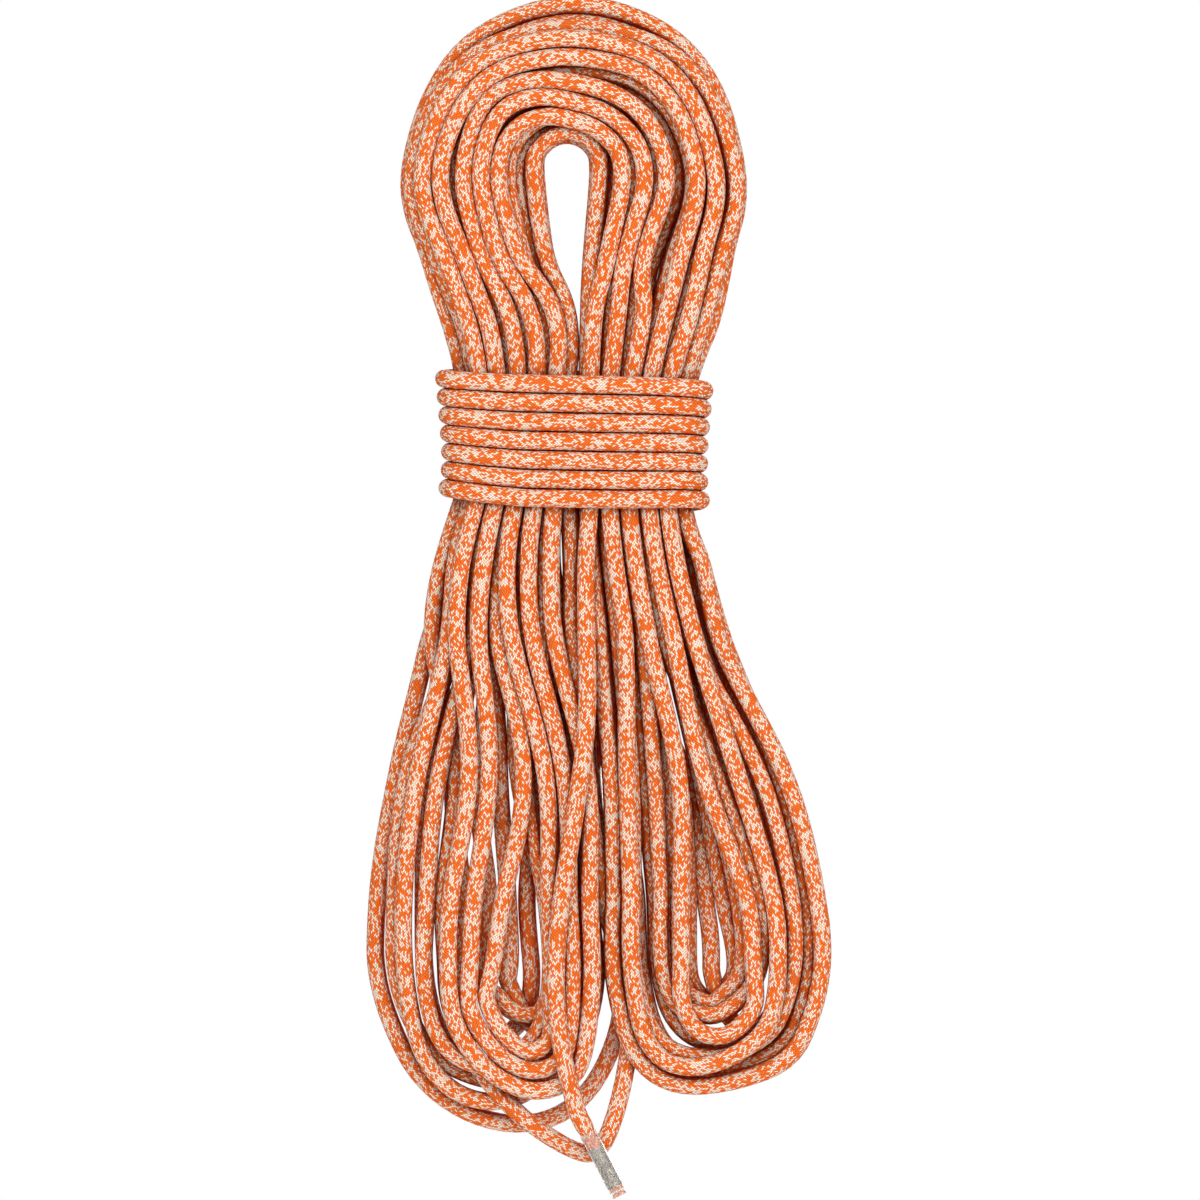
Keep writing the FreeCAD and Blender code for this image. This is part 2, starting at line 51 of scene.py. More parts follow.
# %% [markdown]
# # The camera
# The picture shows the coil from straight ahead, with almost no perspective, as a long lens far away
# gives. The picture is 0.6 m tall at the coil. A lens's focal length is the sensor's width times the
# distance, divided by the width of what it sees, and that is the formula below.

# %% The camera
PICTURE_SIZE = 0.600
PICTURE_CENTRE = (0.0165, -0.229)
CAMERA_DISTANCE = 6.0
SENSOR_WIDTH = 0.036

camera_data = bpy.data.cameras.new("camera")
camera_data.sensor_width = SENSOR_WIDTH * 1000
camera_data.lens = SENSOR_WIDTH * 1000 * CAMERA_DISTANCE / PICTURE_SIZE
camera_data.clip_end = 50
camera = bpy.data.objects.new("camera", camera_data)
camera.location = (PICTURE_CENTRE[0], -CAMERA_DISTANCE, PICTURE_CENTRE[1])
camera.rotation_euler = (math.pi / 2, 0, 0)
bpy.context.scene.collection.objects.link(camera)
bpy.context.scene.camera = camera
print("lens in mm:", round(camera_data.lens))

# %% [markdown]
# # How the hank is wound
# A hank could be a heap of separate closed rings, but a real one is a single line. It goes up from the
# bottom of the left lobe, over the arch, round the right lobe, back over the eye side of the arch and
# down again. Each loop lies a little further in than the last. After three loops the line climbs to the
# layer behind and winds outwards again. Two outlines, the outermost loop and the innermost, are given,
# and every loop lies between them.

# %% The rope's sizes and the layers
ROPE_DIAMETER = 0.0090
LAYER_STEP = 0.00962
LAYERS = 4
LOOPS_PER_LAYER = 3
LOOPS = LAYERS * LOOPS_PER_LAYER
FRONT_LAYER = -LAYER_STEP * (LAYERS - 1) / 2
OUTSIDE_LAYER = LAYER_STEP * (LAYERS + 1) / 2

ARCH_RADIUS = 0.0830
ARCH_CENTRE = (0.0035, -0.0150)
EYE_RADIUS = 0.0135
print("layers, and loops in each:", LAYERS, LOOPS_PER_LAYER)

# %% The rungs that both legs cross
# Each rung is (height, left leg's outside and inside, right leg's inside and outside).
RUNGS = [
    (-0.0150, ARCH_CENTRE[0] - ARCH_RADIUS, -EYE_RADIUS, EYE_RADIUS, ARCH_CENTRE[0] + ARCH_RADIUS),
    (-0.0605, -0.0698, -0.0040, 0.0095, 0.0815),
    (-0.0880, -0.0608, 0.0012, 0.0058, 0.0765),
    (-0.1125, -0.0540, 0.0008, 0.0056, 0.0672),
    (-0.1300, -0.0520, 0.0012, 0.0054, 0.0628),
    (-0.1650, -0.0520, 0.0012, 0.0054, 0.0618),
    (-0.1850, -0.0575, 0.0012, 0.0056, 0.0640),
    (-0.2090, -0.0645, 0.0012, 0.0072, 0.0685),
    (-0.2490, -0.0700, 0.0030, 0.0120, 0.0795),
]
print("rungs:", len(RUNGS))

# %% The lobes below the wrap
# Each entry is a place on the outermost loop and the same place on the innermost.
LEFT_LOBE = [
    ((-0.0845, -0.3190), (-0.0525, -0.3190)),
    ((-0.0925, -0.3790), (-0.0565, -0.3790)),
    ((-0.0880, -0.4290), (-0.0535, -0.4215)),
    ((-0.0680, -0.4730), (-0.0485, -0.4380)),
    ((-0.0310, -0.4910), (-0.0365, -0.4460)),
    ((0.0030, -0.4740), (-0.0245, -0.4380)),
    ((0.0130, -0.4290), (-0.0195, -0.4215)),
    ((0.0125, -0.3790), (-0.0195, -0.3790)),
    ((0.0105, -0.3190), (-0.0205, -0.3190)),
]
RIGHT_LOBE = [
    ((0.1110, -0.3190), (0.0780, -0.3190)),
    ((0.1235, -0.3790), (0.0910, -0.3790)),
    ((0.1245, -0.4215), (0.0920, -0.4115)),
    ((0.1078, -0.4592), (0.0875, -0.4280)),
    ((0.0700, -0.4725), (0.0755, -0.4365)),
    ((0.0385, -0.4650), (0.0635, -0.4280)),
    ((0.0245, -0.4215), (0.0585, -0.4115)),
    ((0.0240, -0.3790), (0.0575, -0.3790)),
    ((0.0215, -0.3190), (0.0545, -0.3190)),
]
LOBE_BOTTOM = 4
print("places on each lobe:", len(LEFT_LOBE), len(RIGHT_LOBE))


# %% The two outlines of one loop
def leg_pair(rung, side, outer_lane):
    """The outermost and innermost loops' places on a rung: an edge of the leg, and the leg's middle."""
    height, left_out, left_in, right_in, right_out = rung
    outside, inside = (left_out, left_in) if side == "left" else (right_out, right_in)
    return (outside if outer_lane else inside, height), ((outside + inside) / 2, height)


def arch_pair(degrees, outer_lane):
    """The same on the arch, at an angle from +X: points on the outer circle, the eye's circle and midway."""
    across, up = math.cos(math.radians(degrees)), math.sin(math.radians(degrees))
    outer = (ARCH_CENTRE[0] + ARCH_RADIUS * across, ARCH_CENTRE[1] + ARCH_RADIUS * up)
    inner = (EYE_RADIUS * across, -EYE_RADIUS + EYE_RADIUS * up)
    middle = ((outer[0] + inner[0]) / 2, (outer[1] + inner[1]) / 2)
    return (outer if outer_lane else inner), middle


up_left = [leg_pair(rung, "left", True) for rung in reversed(RUNGS)]
over = [arch_pair(degrees, True) for degrees in (135, 90, 45)]
down_right = [leg_pair(rung, "right", True) for rung in RUNGS]
up_right = [leg_pair(rung, "right", False) for rung in reversed(RUNGS)]
back_over = [arch_pair(degrees, False) for degrees in (45, 90, 135)]
down_left = [leg_pair(rung, "left", False) for rung in RUNGS]
outwards = LEFT_LOBE[LOBE_BOTTOM::-1] + up_left + over + down_right + RIGHT_LOBE[:LOBE_BOTTOM]
inwards = RIGHT_LOBE[LOBE_BOTTOM:] + up_right + back_over + down_left + LEFT_LOBE[:LOBE_BOTTOM:-1]
print("places round a loop:", len(outwards) + len(inwards))

# %% Names for the places
LEGS = range(len(RUNGS))
STATION_NAMES = (
    ["left bottom", "left corner out", "left low out", "left arm out", "left high out"]
    + [f"left leg {rung} out" for rung in reversed(LEGS)]
    + ["arch left out", "arch top out", "arch right out"]
    + [f"right leg {rung} out" for rung in LEGS]
    + ["right high out", "right arm out", "right low out", "right corner out", "right bottom"]
    + ["right corner in", "right low in", "right arm in", "right high in"]
    + [f"right leg {rung} in" for rung in reversed(LEGS)]
    + ["arch right in", "arch top in", "arch left in"]
    + [f"left leg {rung} in" for rung in LEGS]
    + ["left high in", "left arm in", "left low in", "left corner in"]
)
# Where the wrap holds every strand in its own lane
WRAPPED_RUNGS = LEGS[2:-2]
TIGHT_LEGS = [
    f"{side} leg {rung} {way}"
    for side in ("left", "right")
    for rung in WRAPPED_RUNGS
    for way in ("out", "in")
]
TIGHT_LEGS += ["left leg 7 in", "right leg 7 in"]
print("named places:", len(STATION_NAMES), "of which held tight:", len(TIGHT_LEGS))

# %% [markdown]
# # From a few places to a smooth loop
# The chosen places are 20 to 60 mm apart, which is too coarse for a rope that sways between them. So each
# outline is read again as a smooth closed curve at many more places. How far round the loop each place
# lies is worked out from lengths, and the same rate holds out and back, so neighbouring lanes keep their
# distance.

# %% Shares of the loop, and the outlines read again
def lengths_along(stations):
    """Running length through the stations: the mean of the two outlines' straight steps, added up."""
    steps = [
        sum(math.dist(here[k], there[k]) for k in (0, 1)) / 2
        for here, there in zip(stations, stations[1:])
    ]
    return np.concatenate([[0.0], np.cumsum(steps)])


def steady_shares():
    """Each station's share of the loop, 0 to 1: the mean of its share on the way out and on the way back."""
    there = lengths_along(outwards + inwards[:1])
    back = lengths_along(outwards[:1] + inwards[::-1])
    half = (there / there[-1] + back / back[-1]) / 4
    return np.concatenate([half[:-1], 1 - half[:0:-1]])


def smooth(values, at, wanted):
    """A cubic curve through values at the places `at`, read at `wanted`. Between two places it is the
    cubic with their values and their slopes, and a slope is the step between the neighbours over their
    distance."""
    slope = np.gradient(values, axis=0) / np.gradient(at)[:, None]
    left = np.clip(np.searchsorted(at, wanted, side="right") - 1, 0, len(at) - 2)
    span = (at[left + 1] - at[left])[:, None]
    t = (wanted - at[left])[:, None] / span
    return (
        (2 * t**3 - 3 * t**2 + 1) * values[left]
        + (t**3 - 2 * t**2 + t) * span * slope[left]
        + (3 * t**2 - 2 * t**3) * values[left + 1]
        + (t**3 - t**2) * span * slope[left + 1]
    )


def read_outline(places, shares, wanted):
    """The closed outline through the places, read at the wanted shares. Three places are repeated at
    each end, so that the curve closes smoothly."""
    at = np.concatenate([shares[-3:] - 1, shares, shares[:3] + 1])
    return smooth(np.concatenate([places[-3:], places, places[:3]]), at, wanted)


pairs = np.array(outwards + inwards)
shares = steady_shares()
arch_start = STATION_NAMES.index("arch left out")
print("shares of the loop at the arch:", np.round(shares[arch_start : arch_start + 3], 3))

# %% [markdown]
# # Slack
# The wrap holds the waist tight, and away from it the loops hang loose: some fan out, some lie closer
# together, two of them hang lower than the rest. Pure noise would give some slack, but what shows in the
# picture has a pattern. So a chart says where each loop's strand crosses a few places, in
# millimetres, and the cubic curve above carries a strand from one place to the next. A little seeded
# noise in depth does the rest.

# %% The chart of strands
# For each place: along which way its numbers run, and where loops 0 to 12 cross it, in millimetres. Three
# loops make a layer. A single line stands for a loop in its own lane, a double one for a loop that runs on
# between its other places.
_, __ = None, "between"
ACROSS, UP = 0, 1
CHART = {
    "left bottom": (UP, [_, -473, -463, -453, -461, -478, -498, -470, -441, -431, -449, -466, -492]),
    "left low out": (ACROSS, [_, -59, -48, -39, -69, -78, -61, -83, -29, -42, -55, -70, -92]),
    "left arm out": (ACROSS, [_, -58, -46, -32, -69, -81, -63, -86, -29.5, -39, -52, -72, -95]),
    "left high out": (ACROSS, [_, -49, -39, -21, -64, -75, -57, -80, -33.5, -45, -57, -70, -86]),
    "left leg 8 out": (ACROSS, [_, -55, -44, -34, -48, -59, -68, -55, -39, -38, -46, -62, -70]),
    "left leg 7 out": (ACROSS, [_, _, _, _, _, _, -63.5, _, _, _, _, _, _]),
    "left leg 0 out": (ACROSS, [_, -70, -61, -57, -68, -77, -78, -70, -60, -52, -65, -76, _]),
    "arch left out": (ACROSS, [_, -47, -40, -35, -42, -51, -54, -50, -42, -36, -44, -52, _]),
    "arch top out": (UP, [_, 51, 40, 35, 46, 57, 67, 62, 51, 41, 52, 62, _]),
    "arch right out": (ACROSS, [_, 52, 45, 42, 50, 58, 61, 57, 47, 41, 51, 58, _]),
    "right leg 0 out": (ACROSS, [_, 74, 65, 63, 74, 84, 84, 77, 65, 58, 70, 82, _]),
    "right leg 7 out": (ACROSS, [_, _, _, _, _, 67, 68, _, _, _, _, 63, _]),
    "right leg 8 out": (ACROSS, [_, 64, 53, 49, 62, 76, 79, 66, 55, 51, 62, 71, _]),
    "right high out": (ACROSS, [_, 86, 69, 76, 97, 110, 106, 90, 72, 67, 84, 100, _]),
    "right arm out": (ACROSS, [_, 103, 90, 97, 112, 125, 119, 106, 86, 78, 108, 125, _]),
    "right low out": (ACROSS, [_, 105, 93, 96, 112, 126, 119, 107, 88, 84, 113, 126, _]),
    "right bottom": (UP, [_, -461, -447, -437, -457, -471, -463, -451, -431, -430, -446, -471, _]),
    "right low in": (ACROSS, [_, 33, 57, 48, 34, 23, 36, 45, 54, 61, 72.5, 25, _]),
    "right arm in": (ACROSS, [_, 32, 57, 47, 33, 22, 34, 43, 53, 61, 69.5, 24, _]),
    "right high in": (ACROSS, [_, 30, 56, 44, 32, 21, 26, 38, 50, 56, 61, 22, _]),
    "right leg 8 in": (ACROSS, [_, 29, 41, 38, 26, 15, 18, 31, 43, 36, 24, 15, _]),
    "right leg 0 in": (ACROSS, [28, 39, 49, 46, 33, 16, 25, 40, 55, 50, 32, 15, _]),
    "right leg 1 in": (ACROSS, [20, 29, 37, 34, 23, 11.5, 18, 30, 42, 36, 24, 11, _]),
    "arch right in": (ACROSS, [18, 25, 33, 32, 22, 13, 16, 27, 37, 34, 21, 12, _]),
    "arch top in": (UP, [11, 20, 30, 25, 15, 5, 9, 21, 32, 30, 17, 4, _]),
    "arch left in": (ACROSS, [-22, -30, -37, -30, -20, -12, -16, -27, -35, -30, -20, -12, _]),
    "left leg 0 in": (ACROSS, [-36, -44, -52, -46, -30, -16, -25, -37, -49, -42, -27, -15, _]),
    "left leg 1 in": (ACROSS, [-25, -33, -41, -34, -21, -8.5, -16, -27, -38, -31, -19, -8, _]),
    "left leg 8 in": (ACROSS, [-6, -17, -28, -23, -12, 4, -1, -12, -25, -20, -8, 5, _]),
    "left high in": (ACROSS, [10, -1, -11, -22, -9, 12, 6, -4, -24, -16, 3, 12, _]),
    "left arm in": (ACROSS, [11, 1, -9, -11, 2, 22, 11, 1, -10, -20, 6, 20, _]),
    "left low in": (ACROSS, [11, 2, -8, -9, 4, 35, 13, 3, -8, -17.5, 6, 28, _]),
    "left corner in": (ACROSS, [__, __, __, __, __, 21, __, __, __, __, __, 7, __]),
}
# Where each loop's bottom lies across, and how far a strand passes behind the rest, in millimetres
BOTTOMS = {
    "left bottom": [_, -24, -23, -23, -39, -37, -5, -35, -18, -31, -37, -37, -27],
    "right bottom": [_, 69, 75, 72, 73, 72, 75, 76, 71, 72.5, 90, 74, _],
}
PASSED_BEHIND = {
    (5, "left low in"): 9.6,
    (5, "left arm in"): 5.0,
    (11, "left low in"): 9.0,
    (11, "left arm in"): 5.0,
    (12, "left bottom"): 2.0,
    (10, "right high in"): 9.6,
    (10, "right arm in"): 6.0,
}
# Strands that close the cleft between the legs from behind, and how many lanes they move for it
CLEFT_LOOPS = (5, 11)
CLEFT_LANES = -0.4
SLACK_SEED = 7
SLACK_DEPTH = 0.0016
print("charted places:", len(CHART))


# %% Slack worked out from the chart
def lanes_in(wound):
    """How many lanes in from the outermost loop the line runs: three in, then three out again, and so on."""
    layer = np.floor(wound / LOOPS_PER_LAYER)
    depth = wound - layer * LOOPS_PER_LAYER
    return np.where(layer == LAYERS, 0, np.where(layer % 2 == 0, depth, LOOPS_PER_LAYER - depth))


def slack_table():
    """Rows of (loops wound, lanes further in, back, across). A charted strand's lane is its distance
    from the outermost outline over the distance between both outlines, times the lanes between them."""
    draw = np.random.default_rng(SLACK_SEED)
    rows = []
    for name in TIGHT_LEGS:
        for loop in range(LOOPS + 1):
            in_cleft = loop in CLEFT_LOOPS and name.startswith("left leg") and name.endswith("in")
            rows.append((loop + shares[STATION_NAMES.index(name)], CLEFT_LANES if in_cleft else 0, 0, 0))
    for name, (way, values) in CHART.items():
        station = STATION_NAMES.index(name)
        outer, inner = pairs[station]
        for loop, value in enumerate(values):
            wound = loop + shares[station]
            back = draw.uniform(-SLACK_DEPTH, SLACK_DEPTH) + PASSED_BEHIND.get((loop, name), 0) / 1000
            if value == "between":
                continue
            if value is None:
                rows.append((wound, 0, back, 0))
                continue
            part = (value / 1000 - outer[way]) / (inner[way] - outer[way])
            across = 0
            if name in BOTTOMS:
                across = BOTTOMS[name][loop] / 1000 - outer[0] - part * (inner[0] - outer[0])
            rows.append((wound, part * LOOPS_PER_LAYER - float(lanes_in(wound)), back, across))
    return np.array(sorted(rows))


slack = slack_table()
print("places with slack in all:", len(slack))

# %% The hank's points
STEPS_PER_LOOP = 108
# Loops wound where the hank starts and ends, and the part of a loop over which the line climbs a layer
HANK_FROM = 0.636
HANK_TO = LOOPS + 0.109
CLIMB_FROM, CLIMB_TO = 0.02, 0.11


def hank_points():
    """Where the line runs, as a function of the loops wound so far. The part of the loop that is behind
    the dot gives the place round the outlines, and how far in the spiral is gives the mix of the two
    outlines. A layer is climbed by a smooth step along the left lobe's outer arm, where the spiral
    reverses."""
    wound = np.arange(HANK_FROM, HANK_TO, 1 / STEPS_PER_LOOP)
    layer = np.floor(wound / LOOPS_PER_LAYER)
    climb = np.clip((wound - layer * LOOPS_PER_LAYER - CLIMB_FROM) / (CLIMB_TO - CLIMB_FROM), 0, 1)
    risen = np.where(layer > 0, layer - 1 + climb * climb * (3 - 2 * climb), 0)
    loose = smooth(slack[:, 1:], slack[:, 0], wound)
    part = ((lanes_in(wound) + loose[:, 0]) / LOOPS_PER_LAYER)[:, None]
    outer = read_outline(pairs[:, 0], shares, wound % 1)
    inner = read_outline(pairs[:, 1], shares, wound % 1)
    flat = outer + part * (inner - outer)
    back = FRONT_LAYER + LAYER_STEP * risen + loose[:, 1]
    return np.stack([flat[:, 0] + loose[:, 2], back, flat[:, 1]], axis=1)


hank = hank_points()
print("points on the hank:", len(hank), "in loops:", round(HANK_TO - HANK_FROM, 2))

# %% [markdown]
# # The waist wrap
# Once the hank is wound, the same line goes round its waist seven times and is tucked away behind. Seen
# from above, a turn is close to an oblong with round corners that bulges a little. A superellipse gives
# that with one number for its squareness. Each turn also climbs one step, so the turns lie on each other.
# Behind, the turns pass over the tucked tail in a low hump.

# %% The wrap's turns
# Turns that show in front, and how many times round the line really goes
WRAP_TURNS = 7
WRAP_ROUND = 6.86
WRAP_STEP = 0.0091
WRAP_MIDDLE = -0.1482
WRAP_STEPS_PER_TURN = 40
WRAP_CENTRE = 0.0038
WRAP_HALF_WIDTH = 0.0627
WRAP_WIDENING = 0.0008
WRAP_HALF_DEPTH = 0.0258
WRAP_SQUARENESS = 4.6
WRAP_START_ANGLE = 68.0
WRAP_TILT = -0.012
WRAP_SAG = 0.003
HUMP_PLACE, HUMP_WIDTH, HUMP_HEIGHT = 0.0245, 0.015, 0.0088


def wrap_points():
    """The turns: x and y follow a superellipse, the cosine and sine raised to 2/squareness with their
    signs kept, and the height climbs one step a turn, less a tilt across the width. In front the lower
    turns sag a little in the middle. The hump is a bell curve in x."""
    turned = np.linspace(0, WRAP_ROUND, round(WRAP_ROUND * WRAP_STEPS_PER_TURN) + 1)
    angle = math.radians(WRAP_START_ANGLE) - 2 * math.pi * turned
    cosine, sine = np.cos(angle), np.sin(angle)
    half_width = WRAP_HALF_WIDTH + WRAP_WIDENING * (turned - WRAP_TURNS / 2)
    across = half_width * np.sign(cosine) * np.abs(cosine) ** (2 / WRAP_SQUARENESS)
    back = WRAP_HALF_DEPTH * np.sign(sine) * np.abs(sine) ** (2 / WRAP_SQUARENESS)
    over_tail = HUMP_HEIGHT * np.exp(-(((WRAP_CENTRE + across - HUMP_PLACE) / HUMP_WIDTH) ** 2))
    foot = WRAP_MIDDLE - WRAP_STEP * WRAP_TURNS / 2
    sag = WRAP_SAG * (1 - turned / WRAP_TURNS) * (1 - (across / WRAP_HALF_WIDTH) ** 2) * (sine < 0)
    height = foot + WRAP_STEP * turned + WRAP_TILT * across - sag
    return np.stack([WRAP_CENTRE + across, back + np.where(sine > 0, over_tail, 0), height], axis=1)


wrap = wrap_points()
print("points on the wrap:", len(wrap))

# %% [markdown]
# # The two tails
# Both ends hang free. The front one shows all the way down, and its points are chosen from the
# picture. The back one is hidden, so it is simply tucked under the wrap and hangs behind.

# %% The tails' points, from the coil to the rope's end
FRONT_TAIL = [
    (0.0095, -0.0160, -0.2075),
    (0.0095, -0.0200, -0.2380),
    (0.0110, -0.0240, -0.2880),
    (0.0035, -0.0250, -0.3400),
    (-0.0050, -0.0255, -0.3910),
    (-0.0060, -0.0255, -0.4380),
    (0.0040, -0.0255, -0.4820),
    (0.0265, -0.0255, -0.5255),
]
# From the hank's end up behind it to the wrap's start
APPROACH = [
    (-0.0676, 0.0240, -0.2400),
    (-0.0650, 0.0249, -0.2200),
    (-0.0600, 0.0255, -0.2020),
    (-0.0450, 0.0262, -0.1880),
]
BACK_TAIL = [
    (-0.0110, 0.0246, -0.1130),
    (0.0090, 0.0242, -0.1200),
    (0.0220, OUTSIDE_LAYER, -0.1370),
    (0.0250, OUTSIDE_LAYER, -0.1680),
    (0.0200, 0.0250, -0.2090),
    (0.0140, 0.0255, -0.2550),
    (0.0125, 0.0260, -0.3030),
    (0.0150, 0.0265, -0.3490),
]
print("points on the tails:", len(FRONT_TAIL), len(BACK_TAIL))

# %% [markdown]
# # One line of control points
# The route from the front end to the back end is one list of points. A quadratic NURBS spline doesn't
# pass through its control points: halfway along a span it lies at an eighth of one neighbour, six eighths
# of the point and an eighth of the other. So the coil's control points are moved out a little at a time
# until the spline passes through the wanted places.

# %% The whole route, and control points that lead the spline along it
# How far from the rope's end the two added points lie
SLEEVE_HOLDS = (0.040, 0.020)


def held_straight(tail):
    """The tail's points with two more on its last run: the end sleeve holds that run straight."""
    before, end = np.array(tail[-2]), np.array(tail[-1])
    way = (end - before) / np.linalg.norm(end - before)
    return np.array(tail[:-1] + [tuple(end - way * back) for back in SLEEVE_HOLDS] + [tuple(end)])


front_route = held_straight(FRONT_TAIL)[::-1]
back_route = held_straight(BACK_TAIL)
coil_route = np.concatenate([hank, np.array(APPROACH), wrap])
CORRECTION_ROUNDS = 6


def led_through(route):
    """Control points c with (before + 6 c + after) / 8 = the route's own point, found in a few rounds."""
    control = route.copy()
    for _ in range(CORRECTION_ROUNDS):
        middle = (control[:-2] + 6 * control[1:-1] + control[2:]) / 8
        control[1:-1] += route[1:-1] - middle
    return control


control = np.concatenate([front_route, led_through(coil_route), back_route])
HANK_START = len(front_route)
WRAP_START = HANK_START + len(hank)
BACK_START = WRAP_START + len(APPROACH) + len(wrap)
print("control points:", len(control))

# %% [markdown]
# # Letting the strands settle
# With slack, some strands now run through each other. Real ones push each other aside. The spline is a
# weighted sum of its control points, so it can be sampled as whole arrays. Wherever two samples of
# different stretches are nearer than a little over one diameter, both move apart, and the moves are
# passed back to the control points by the same weights. Smoothing the moves along the rope makes its
# bends gentler. The samples are several millimetres apart, so at some crossings the strands still press
# into each other, and a few bends stay tighter than a real rope's.

# %% The settling
SETTLE_ROUNDS = 70
SETTLE_GAP = 0.0091
LOOKED_AT_WITHIN = 0.013
OWN_BEND = 0.030
SAMPLES_PER_SPAN = 4
PAIRS_EVERY = 10
# How far over each push goes, how much of each round's moves is evened out, and how many points stay
PUSH_FACTOR = 1.6
EVENING = 0.4
HELD_AT_FRONT, HELD_AT_BACK = 6, 5

span_places = np.arange(SAMPLES_PER_SPAN) / SAMPLES_PER_SPAN
SPAN_WEIGHTS = np.stack(
    [(1 - span_places) ** 2 / 2, 0.5 + span_places - span_places**2, span_places**2 / 2], axis=1
)


def sampled(points):
    """Samples of the quadratic spline: each is the weighted sum of three control points in a row."""
    spans = np.stack([points[:-2], points[1:-1], points[2:]], axis=1)
    return np.einsum("sw,nwd->nsd", SPAN_WEIGHTS, spans).reshape(-1, 3)


def close_pairs(samples):
    """Index pairs of samples that are close in space but not along the rope."""
    tree = KDTree(len(samples))
    for index, place in enumerate(samples):
        tree.insert(place, index)
    tree.balance()
    along = np.concatenate([[0], np.cumsum(np.linalg.norm(np.diff(samples, axis=0), axis=1))])
    found = [
        (index, other)
        for index, place in enumerate(samples)
        for _, other, _ in tree.find_range(place, LOOKED_AT_WITHIN)
        if along[other] - along[index] > OWN_BEND
    ]
    return np.array(found)


def settle(start, held):
    """Moves control points apart, round by round, where samples of two stretches are nearer than the
    gap. `held` is 0 where a point stays."""
    moved = np.zeros_like(start)
    count = len(start)
    weights = np.tile(SPAN_WEIGHTS, (count - 2, 1))
    owner = np.repeat(np.arange(count - 2), SAMPLES_PER_SPAN)
    for turn in range(SETTLE_ROUNDS):
        samples = sampled(start + moved)
        if turn % PAIRS_EVERY == 0:
            pair = close_pairs(samples)
        between = samples[pair[:, 1]] - samples[pair[:, 0]]
        distance = np.linalg.norm(between, axis=1)
        push = np.clip(SETTLE_GAP - distance, 0, None) / 2
        step = between / np.maximum(distance, 1e-6)[:, None] * push[:, None]
        total = np.zeros_like(samples)
        share = np.zeros(len(samples))
        for end, sign in ((0, -1), (1, 1)):
            np.add.at(total, pair[:, end], sign * step)
            np.add.at(share, pair[:, end], push > 0)
        passed = np.zeros_like(start)
        load = np.zeros(count)
        for place in range(3):
            np.add.at(passed, owner + place, total * weights[:, place, None])
            np.add.at(load, owner + place, share * weights[:, place])
        moved += PUSH_FACTOR * passed / np.maximum(load, 0.5)[:, None]
        even = moved.copy()
        even[1:-1] = (moved[:-2] + 2 * moved[1:-1] + moved[2:]) / 4
        moved = ((1 - EVENING) * moved + EVENING * even) * held[:, None]
    worst = push.argmax()
    place = np.round(samples[pair[worst, 0]], 3)
    print(f"most that two samples lacked of the gap in the last round: {2000 * push[worst]:.2f} mm at", place)
    return start + moved


held = np.ones(len(control))
held[:HELD_AT_FRONT] = 0
held[-HELD_AT_BACK:] = 0
settled = settle(control, held)

# %% [markdown]
# # The rope's own line
# The settled points go into one NURBS curve. Its order and end rule are set after the points, because a
# spline with too few points falls back to straight runs. A mesh made from that curve with no thickness is
# a row of points: the line that every piece of rope below follows.

# %% The centre line
LINE_STEPS = 5


def spline_line(points, name):
    """Points along a quadratic NURBS spline that has these control points."""
    curve = bpy.data.curves.new(name, "CURVE")
    curve.dimensions = "3D"
    spline = curve.splines.new("NURBS")
    spline.points.add(len(points) - 1)
    spline.points.foreach_set("co", np.column_stack([points, np.ones(len(points))]).ravel())
    spline.order_u = 3
    spline.use_endpoint_u = True
    spline.resolution_u = LINE_STEPS
    holder = bpy.data.objects.new(name, curve)
    mesh = bpy.data.meshes.new_from_object(holder)
    line = np.zeros(len(mesh.vertices) * 3)
    mesh.vertices.foreach_get("co", line)
    bpy.data.meshes.remove(mesh)
    bpy.data.objects.remove(holder)
    bpy.data.curves.remove(curve)
    return line.reshape(-1, 3)


def evenly(line, step):
    """The same line with its points a steady step apart, read between the old ones."""
    along = np.concatenate([[0], np.cumsum(np.linalg.norm(np.diff(line, axis=0), axis=1))])
    at = np.linspace(0, along[-1], max(2, round(along[-1] / step) + 1))
    return np.stack([np.interp(at, along, line[:, axis]) for axis in range(3)], axis=1)


line = spline_line(settled, "whole_rope_route")


def line_index(control_index):
    """The index of the line's point that is level with a control point."""
    return round((control_index - 0.5) * LINE_STEPS)


cuts = [0, line_index(HANK_START), line_index(WRAP_START), line_index(BACK_START), len(line) - 1]
PIECE_NAMES = ("front_tail", "hank", "waist_wrap", "back_tail")
along = np.concatenate([[0], np.cumsum(np.linalg.norm(np.diff(line, axis=0), axis=1))])
for name, first, last in zip(PIECE_NAMES, cuts, cuts[1:]):
    print(f"{name}: {along[last] - along[first]:.3f} m in {last - first} steps")
print(f"whole rope: {along[-1]:.2f} m")

# %% [markdown]
# # A tube along a line
# A tube's ring needs two directions across the line. If they were worked out anew at each point the tube
# would twist, so they are carried along without turning: the direction is mirrored twice from one point
# to the next. Each ring then gives one row of faces, and a map runs once round the tube and along it in
# metres. The braid is drawn with that map.

# %% The tube's surface
ROPE_SIDES = 16
CORE_SIDES = 8
CORE_RADIUS = 0.0032
ROPE_RADIUS = ROPE_DIAMETER / 2
print("sides of the sheath's tube and of the core's:", ROPE_SIDES, CORE_SIDES)


def directions_along(points):
    """The direction of the line at each point, from its neighbours."""
    step = np.gradient(points, axis=0)
    return step / np.linalg.norm(step, axis=1)[:, None]


